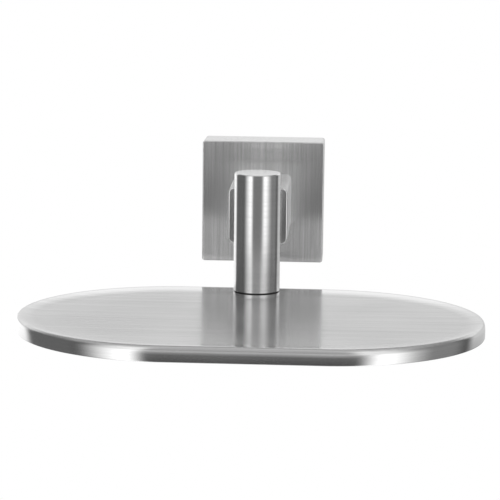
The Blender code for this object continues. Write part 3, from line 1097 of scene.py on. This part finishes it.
@dataclass(frozen=True)
class Post(Assembly):
    """The round post, ground level round its side and faced on its ends."""

    chamfer: float = 0.25 * MM
    segments: int = 160
    drop: float = 0.1 * MM
    bolt_bore: float = 2.6 * MM
    pin_bore: float = 1.05 * MM
    end_slope: float = 0.9

    def build(self) -> list[Piece]:
        """Build and dress the post.

        Returns:
            The post alone.
        """
        place, arm, bolt, screw, foot = (Place.of(node) for node in
                                         ("post", "arm", "tie_bolt", "dish_screw", "foot_pin"))
        radius, edge, y = place.size.x / 2, self.chamfer, place.middle.y
        low, high = place.low.z - self.drop, place.high.z
        profile = [(radius - edge, low), (radius, low + edge), (radius, arm.low.z),
                   (radius, arm.high.z), (radius, high - edge), (radius - edge, high)]
        cuts = [along_y(rod(self.bolt_bore, -radius, place.high.y - bolt.low.y + edge),
                        0, place.high.y, bolt.middle.z),
                moved(rod(self.bolt_bore, low - radius, screw.high.z + edge), 0, y, 0),
                moved(rod(self.pin_bore, low - radius, foot.high.z + edge, segments=24),
                      0, foot.middle.y, 0)]
        # the end faces take the brighter end finish, whose tone is a painted highlight
        return [make_piece("post_rod", "post", moved(turned(profile, self.segments), 0, y, 0),
                           [self.finishes.post, self.finishes.post_end_with_painted_highlight], cuts,
                           choose=lambda face: int(abs(face.normal.z) > self.end_slope))]


@dataclass(frozen=True)
class Oval:
    """A level oval with straight sides and half an ellipse at each end."""

    half_length: float
    half_width: float
    end: float
    middle: float

    def towards(self, other: "Oval", share: float) -> "Oval":
        """Return the oval that lies a share of the way from this one to another."""
        return Oval(*(mine + share * (theirs - mine)
                      for mine, theirs in zip(astuple(self), astuple(other))))

    def ring(self, z: float, end_steps: int, side_steps: int) -> Ring:
        """Return the oval's points.

        Args:
            z: Its height.
            end_steps: How many steps each quarter of the ends has.
            side_steps: How many steps each straight side has.

        Returns:
            The points, anticlockwise from the +X end.
        """
        straight = self.half_length - self.end
        angles = [QUARTER_TURN * step / end_steps for step in range(end_steps + 1)]
        quarter = [(straight + self.end * math.cos(angle), self.half_width * math.sin(angle))
                   for angle in angles]
        side = [(straight - 2 * straight * step / side_steps, self.half_width)
                for step in range(1, side_steps)]
        upper = quarter + side + [(-x, y) for x, y in reversed(quarter)]
        points = upper + [(-x, -y) for x, y in upper[1:-1]]
        return [Vector((x, self.middle + y, z)) for x, y in points]


@dataclass(frozen=True)
class Dish(Assembly):
    """The pressed dish with the gasket, pin, washer and screw that hold it under the post."""

    width: float = 95.0 * MM
    end: float = 52.0 * MM
    end_steps: int = 56
    side_steps: int = 20
    height: float = 5.0 * MM
    roll_down: float = 3.4 * MM
    roll_power: float = 3.4
    roll_steps: int = 22
    crest: float = 1.6 * MM
    crest_front: float = 2.8 * MM
    rim_back: float = 11.0 * MM
    rim_end: float = 7.0 * MM
    rim_front: float = 9.0 * MM
    floor_end: float = 48.0 * MM
    rim_steps: int = 14
    bend: float = 0.12
    drop: float = 0.7 * MM
    hollow: float = 0.2 * MM
    hollow_steps: int = 14
    core: float = 1.0 * MM
    sheet: float = 1.0 * MM
    lower_edge: float = 0.3 * MM
    edge_profile: tuple[tuple[float, float], ...] = ((1.0, 0.0), (0.3, 0.3), (0.0, 1.0))
    boss_margin: float = 0.1 * MM
    boss_rise: float = 0.1 * MM
    gasket_steps: int = 8
    gasket_angle: float = 50.0
    screw_radius: float = 2.5 * MM
    key: float = 3.0 * MM
    key_depth: float = 1.0 * MM
    head_height: float = 1.5 * MM
    play: float = 0.12 * MM
    pin_play: float = 0.04 * MM
    wall_slope: float = 0.55

    def build(self) -> list[Piece]:
        """Build and dress the dish and its fixings."""
        return [self.build_dish(), self.build_gasket(), self.build_screw(), self.build_washer(),
                self.build_pin()]

    def inner_oval(self, back: float, end: float, front: float, curve: float) -> Oval:
        """Return an oval inside the dish's outer edge.

        Args:
            back: Its distance from the edge at the back.
            end: Its distance from the edge at each end.
            front: Its distance from the edge at the front.
            curve: The length of its curved ends.

        Returns:
            The oval.
        """
        place = Place.of("dish")
        return Oval(place.size.x / 2 - end, (self.width - back - front) / 2, curve,
                    place.low.y + (self.width + front - back) / 2)

    def even_oval(self, inset: float) -> Oval:
        """Return the oval that lies at an even distance inside the outer edge."""
        return self.inner_oval(inset, inset, inset, self.end - inset)

    def slope(self, share: float) -> float:
        """Return how far down the rim's inner slope is.

        Args:
            share: The place between the crest, 0, and the floor, 1.

        Returns:
            The share of the drop, with a soft bend at both ends.
        """
        bend = self.bend
        if share < bend:
            return share * share / (2 * bend * (1 - bend))
        if share > 1 - bend:
            return 1 - (1 - share) ** 2 / (2 * bend * (1 - bend))
        return (share - bend / 2) / (1 - bend)

    def skin(self, rim_top: float, offset: float) -> list[tuple[Oval, float]]:
        """Return the rings of one skin of the sheet, from its lower edge to the middle of the floor.

        Args:
            rim_top: The height of the rim's top.
            offset: 0 for the upper skin and the sheet's thickness for the lower one.

        Returns:
            Each ring's oval and height.
        """
        bottom, edge, wall = rim_top - self.height, self.lower_edge, self.even_oval(offset)
        inward = edge if offset == 0 else -edge
        rings = [(self.even_oval(offset + inward * lean), bottom + edge * rise)
                 for lean, rise in self.edge_profile]
        crest = self.inner_oval(self.crest, self.crest, self.crest_front, self.end - self.crest)
        floor = self.inner_oval(self.rim_back, self.rim_end, self.rim_front, self.floor_end)
        for step in range(self.roll_steps + 1):
            angle = QUARTER_TURN * step / self.roll_steps
            out, up = (max(0.0, part) ** (2 / self.roll_power)
                       for part in (math.cos(angle), math.sin(angle)))
            rings.append((wall.towards(crest, 1 - out),
                          rim_top - self.roll_down + (self.roll_down - offset) * up))
        for step in range(1, self.rim_steps + 1):
            share = step / self.rim_steps
            rings.append((crest.towards(floor, share), rim_top - offset - self.slope(share) * self.drop))
        core = Oval(floor.half_length - floor.end + self.core, self.core, self.core, floor.middle)
        for step in range(1, self.hollow_steps + 1):
            share = step / self.hollow_steps
            sag = self.hollow * math.sin(QUARTER_TURN * share) ** 2
            rings.append((floor.towards(core, share), rim_top - offset - self.drop - sag))
        return rings

    def build_dish(self) -> Piece:
        """Build the dish with its rolled rim, its slightly hollow floor and its boss.

        Returns:
            The dish.
        """
        rim_top, post, foot = Place.of("dish").high.z, Place.of("post"), Place.of("foot_pin")
        under = rim_top - self.drop - self.sheet - self.hollow
        low, high = under - self.height, rim_top + self.height
        boss = rod(post.size.x / 2 + self.boss_margin, under, rim_top + self.boss_rise, segments=96)
        bore, pin_bore = self.screw_radius + self.play, foot.size.x / 2 + self.pin_play
        cuts = [moved(rod(bore, low, high, segments=48), 0, post.middle.y, 0),
                moved(rod(pin_bore, low, high, segments=24), 0, foot.middle.y, 0)]
        rings = self.skin(rim_top, self.sheet)[::-1] + self.skin(rim_top, 0.0)
        tray = loft([oval.ring(z, self.end_steps, self.side_steps) for oval, z in rings])
        return make_piece("dish_tray", "dish", tray, [self.finishes.dish, self.finishes.rim], cuts,
                          joins=[moved(boss, 0, post.middle.y, 0)],
                          choose=lambda face: int(abs(face.normal.z) < self.wall_slope))

    def build_gasket(self) -> Piece:
        """Build the gasket, squeezed between the post's foot and the boss.

        Returns:
            The gasket.
        """
        post = Place.of("post")
        low, high = Place.of("dish").high.z + self.boss_rise, post.low.z - self.boss_rise
        swell = (high - low) / 2
        outer, inner = Place.of("foot_gasket").size.x / 2, self.screw_radius + self.play
        angles = [math.pi * step / self.gasket_steps for step in range(1, self.gasket_steps)]
        bulge = [(outer - swell + swell * math.sin(angle), (low + high) / 2 - swell * math.cos(angle))
                 for angle in angles]
        profile = [(inner, low), (outer - swell, low), *bulge, (outer - swell, high), (inner, high)]
        return make_piece("foot_gasket_ring", "foot_gasket",
                          moved(turned(profile, segments=96, closed=True), 0, post.middle.y, 0),
                          [self.finishes.rubber], sharp_angle=self.gasket_angle)

    def build_screw(self) -> Piece:
        """Build the low-headed screw under the dish.

        Returns:
            The screw.
        """
        place = Place.of("dish_screw")
        shape = SocketScrew(place.size.x / 2, self.head_height, self.key, self.key_depth, place.size.z,
                            place.size.z - 2 * self.head_height, Thread(self.screw_radius))
        base = (0, place.middle.y, place.low.z)
        return make_piece("dish_screw_socket", "dish_screw", moved(shape.solid(), *base),
                          [self.finishes.hardware], [moved(shape.socket(), *base)],
                          sharp_angle=THREAD_ANGLE)

    def build_washer(self) -> Piece:
        """Build the washer under the dish.

        Returns:
            The washer.
        """
        place = Place.of("dish_washer")
        ring = washer(self.screw_radius + self.play, place.size.x / 2, place.low.z, place.high.z,
                      self.play, segments=72)
        return make_piece("dish_washer_ring", "dish_washer", moved(ring, 0, place.middle.y, 0),
                          [self.finishes.bracket])

    def build_pin(self) -> Piece:
        """Build the pin that keeps the dish from turning.

        Returns:
            The pin.
        """
        place = Place.of("foot_pin")
        dowel = pin(place.size.x / 2, place.low.z, place.high.z, self.lower_edge, segments=32)
        return make_piece("foot_pin_dowel", "foot_pin", moved(dowel, 0, place.middle.y, 0),
                          [self.finishes.hardware])


@dataclass(frozen=True)
class Panel:
    """A pale panel of the studio, as the metal sees it.

    Azimuth is 0 on the camera's side, positive towards +X, and both angles are degrees. Each band
    says where the panel starts, where it is full, where it is still full and where it ends.
    """

    azimuth: Band
    elevation: Band
    level: float
    both_sides: bool = False

    def light(self, desk: NodeDesk, azimuth: Socket, elevation: Socket) -> Socket:
        """Return the panel's light in the direction looked at.

        Args:
            desk: The world's desk.
            azimuth: The direction's azimuth in degrees.
            elevation: Its elevation in degrees.

        Returns:
            The panel's level there.
        """
        level = self.level
        if self.both_sides:
            azimuth = desk.maths("ABSOLUTE", azimuth)
        for angle, (start, full, still, end) in ((azimuth, self.azimuth), (elevation, self.elevation)):
            inside = desk.maths("MULTIPLY", desk.ramp(angle, start, full),
                                desk.ramp(angle, still, end, 1.0, 0.0))
            level = desk.maths("MULTIPLY", inside, level)
        return level


@dataclass(frozen=True)
class Lamp:
    """A soft round lamp that points at the holder."""

    name: str
    place: tuple[float, float, float]
    size: float
    power: float

    def build(self) -> None:
        """Build the lamp, which the metal doesn't mirror."""
        data = bpy.data.lights.new(self.name, "AREA")
        data.shape = "DISK"
        data.size = self.size
        data.energy = self.power
        lamp = bpy.data.objects.new(self.name, data)
        lamp.location = self.place
        lamp.rotation_euler = (-Vector(self.place)).to_track_quat("-Z", "Y").to_euler()
        lamp.visible_glossy = False
        bpy.context.scene.collection.objects.link(lamp)


ALL_ROUND: Band = (-181.0, -180.0, 180.0, 181.0)
AHEAD: Band = (-35.0, -20.0, 20.0, 35.0)
BEHIND: Band = (115.0, 131.0, 180.0, 181.0)
BELOW: Band = (-75.0, -45.0, 2.0, 12.0)
ABOVE: Band = (2.0, 12.0, 45.0, 75.0)
WIDE: Band = (-75.0, -45.0, 30.0, 60.0)


@dataclass(frozen=True)
class Studio:
    """The plain pale floor, the soft lamps and the panels that the metal reflects."""

    floor_depth: float = 0.8
    floor_size: float = 12.0
    floor_tone: float = 0.9
    shadow_radius: float = 1.0
    shadow_core: float = 0.4
    shadow_white: float = 0.6
    ambient: float = 0.6
    base: float = 0.08
    lamps: tuple[Lamp, ...] = (
        Lamp("key_lamp", (-0.9, -1.1, 1.3), 1.2, 28.0),
        Lamp("fill_lamp", (1.2, -0.6, 1.1), 1.4, 16.0),
    )
    panels: tuple[Panel, ...] = (
        Panel((-70.0, -28.0, -31.0, -15.0), BELOW, 1.65),
        Panel((21.0, 40.0, 41.0, 80.0), BELOW, 1.6),
        Panel((-70.0, -35.0, -28.0, -14.0), ABOVE, 1.05),
        Panel((17.0, 32.0, 42.0, 80.0), ABOVE, 0.95),
        Panel((-125.0, -112.0, -75.0, -60.0), WIDE, 0.08),
        Panel((60.0, 75.0, 98.0, 122.0), WIDE, 0.20),
        Panel(AHEAD, (-9.5, -5.5, 40.0, 65.0), 0.29),
        Panel(AHEAD, (3.0, 9.0, 16.0, 26.0), 0.28),
        Panel((-173.0, -162.0, -128.0, -114.0), (-30.0, -20.0, -2.0, 15.0), 0.62),
        Panel(BEHIND, (-35.0, -5.0, 22.0, 42.0), 0.64, both_sides=True),
        Panel(BEHIND, (-12.0, 8.0, 25.0, 45.0), 0.09, both_sides=True),
        Panel((110.0, 128.0, 180.0, 181.0), (10.0, 20.0, 30.0, 42.0), 0.40, both_sides=True),
        Panel(ALL_ROUND, (25.0, 75.0, 90.0, 91.0), 0.55),
        Panel(ALL_ROUND, (-91.0, -90.0, -55.0, -35.0), 0.45),
    )

    def build(self) -> None:
        """Build the floor, the lamps and the world."""
        self.build_floor()
        for lamp in self.lamps:
            lamp.build()
        self.build_world()

    def build_floor(self) -> None:
        """Build a pale floor well below the holder, white to the camera but for the shadow."""
        bm = bmesh.new()
        bmesh.ops.create_grid(bm, x_segments=1, y_segments=1, size=self.floor_size / 2)
        floor = new_object("studio_floor", moved(bm, 0, 0, -self.floor_depth))
        floor.visible_glossy = False
        desk = MaterialDesk("pale_floor")
        desk.tree.nodes.remove(desk.shader)
        diffuse = desk.add("ShaderNodeBsdfDiffuse", grey(self.floor_tone))
        across = desk.vector("LENGTH", desk.vector("MULTIPLY", desk.place(), (1.0, 1.0, 0.0)))
        away = desk.ramp(across, self.shadow_core * self.shadow_radius, self.shadow_radius,
                         self.shadow_white)
        white = desk.maths("MULTIPLY", away, desk.add("ShaderNodeLightPath").outputs["Is Camera Ray"])
        glow = desk.add("ShaderNodeEmission")
        mixed = desk.add("ShaderNodeMixShader", white, diffuse.outputs[0], glow.outputs[0])
        desk.fill(desk.tree.nodes["Material Output"], Surface=mixed.outputs[0])
        floor.data.materials.append(desk.material)

    def build_world(self) -> None:
        """Build a white surround whose panels only the metal sees."""
        world = bpy.data.worlds.new("studio_world")
        world.use_nodes = True
        world.cycles.sampling_method = "NONE"
        bpy.context.scene.world = world
        desk = NodeDesk(world.node_tree)
        x, y, z = desk.split(desk.add("ShaderNodeTexCoord").outputs["Generated"])
        azimuth = desk.maths("DEGREES", desk.maths("ARCTAN2", x, desk.maths("MULTIPLY", y, -1.0)))
        elevation = desk.maths("DEGREES", desk.maths("ARCSINE", z))
        level = self.base
        for panel in self.panels:
            level = desk.maths("ADD", panel.light(desk, azimuth, elevation), level)
        path = desk.add("ShaderNodeLightPath").outputs
        seen = desk.maths("MAXIMUM", path["Is Camera Ray"], path["Is Transmission Ray"])
        plain = desk.maths("MULTIPLY_ADD", seen, 1.0 - self.ambient, self.ambient)
        desk.fill(desk.tree.nodes["Background"], Color=grey(1.0),
                  Strength=desk.mix(path["Is Glossy Ray"], plain, level, "FLOAT"))


@dataclass(frozen=True)
class PhotoCamera:
    """The camera as it stood for the photograph, with a square frame. Its angles are degrees."""

    place: tuple[float, float, float] = (31.77 * MM, -703.75 * MM, 104.43 * MM)
    yaw: float = 3.012
    pitch: float = 10.066        # downwards
    roll: float = 0.658
    lens: float = 137.89         # millimetres, as the sensor's width
    sensor: float = 36.0

    def build(self) -> None:
        """Build the camera and make it the scene's own."""
        yaw, pitch, roll = (math.radians(angle) for angle in (self.yaw, self.pitch, self.roll))
        turn = (Matrix.Rotation(yaw, 4, "Z") @ Matrix.Rotation(QUARTER_TURN - pitch, 4, "X")
                @ Matrix.Rotation(roll, 4, "Z"))
        data = bpy.data.cameras.new("photo_camera")
        data.lens = self.lens
        data.sensor_width = self.sensor
        camera = bpy.data.objects.new("photo_camera", data)
        camera.matrix_world = Matrix.Translation(self.place) @ turn
        bpy.context.scene.collection.objects.link(camera)
        bpy.context.scene.camera = camera


def main() -> None:
    """Build the soap holder, its studio and its camera."""
    logging.basicConfig(level=logging.INFO, format="%(name)s: %(message)s")
    bpy.context.scene.view_settings.view_transform = "Standard"
    dish = Place.of("dish")
    finishes = Finishes(CrestPolish(foot=dish.high.z - Dish.drop, top=dish.high.z,
                                    front=dish.middle.y, back=Place.of("post").middle.y))
    for assembly in (WallBracket, Rosette, Arm, TieBolt, Post, Dish):
        pieces = assembly(finishes).build()
        LOG.info("%s: %d pieces", assembly.__name__, len(pieces))
    Studio().build()
    PhotoCamera().build()


if __name__ == "__main__":
    main()
